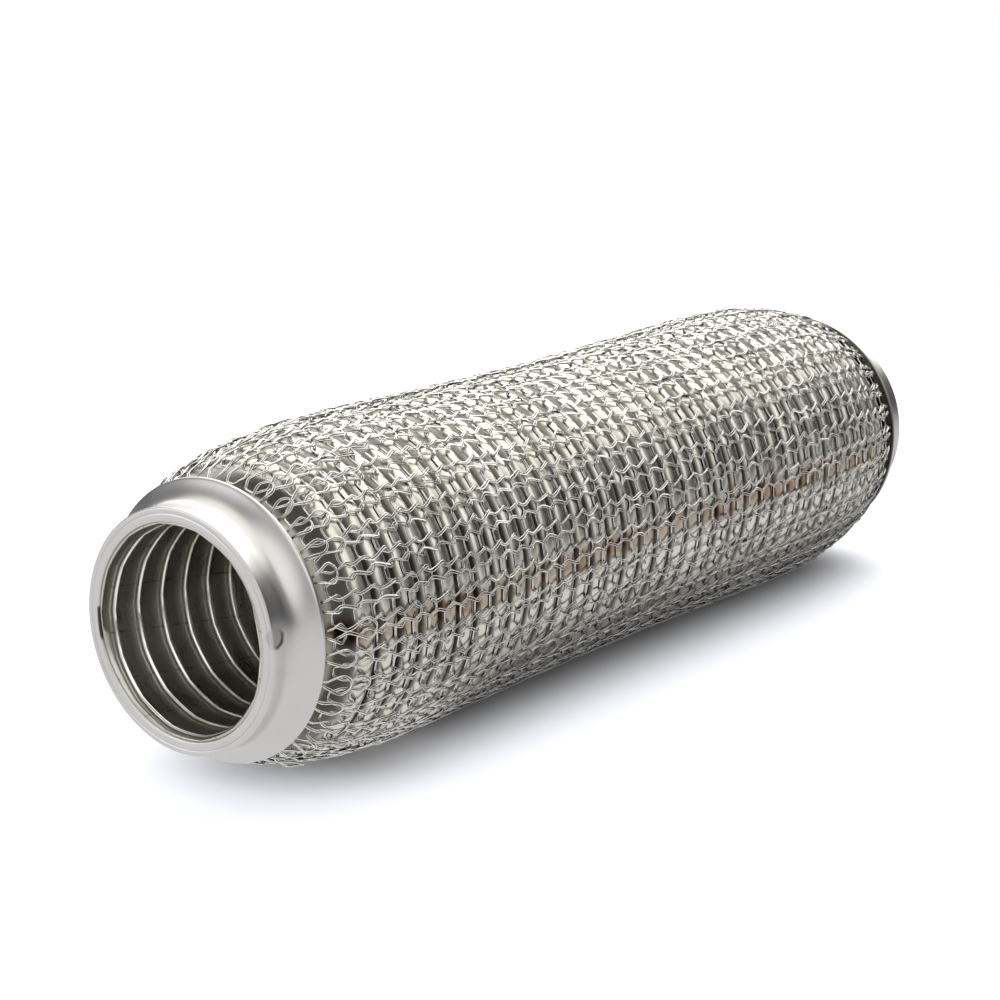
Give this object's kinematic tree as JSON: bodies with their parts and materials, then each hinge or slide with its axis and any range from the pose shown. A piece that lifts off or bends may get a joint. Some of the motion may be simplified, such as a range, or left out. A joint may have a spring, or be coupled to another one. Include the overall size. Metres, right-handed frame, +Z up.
{
  "type": "exhaust flex pipe",
  "caption": "Straight flexible exhaust coupling: corrugated bellows under a knitted wire sleeve, strip-wound inner liner and a flared collar at each end.",
  "frame": {"origin": "on the surface that the pipe lies on, under the middle of its length", "axes": "+X along the pipe towards the rear collar, +Z up"},
  "size_m": [0.28, 0.0802, 0.0796],
  "materials": {
    "collar": "satin stainless sheet with a faint turned grain",
    "sleeve": "bright drawn stainless wire",
    "bellows": "bright rolled stainless foil, with brown heat tint along its weld seam",
    "liner": "dull stainless strip with bright rolled edges"
  },
  "bodies": {
    "root": {"front_collar": "collar", "rear_collar": "collar", "mesh_sleeve": "sleeve", "bellows": "bellows", "interlock_liner": "liner"}
  },
  "joints": []
}
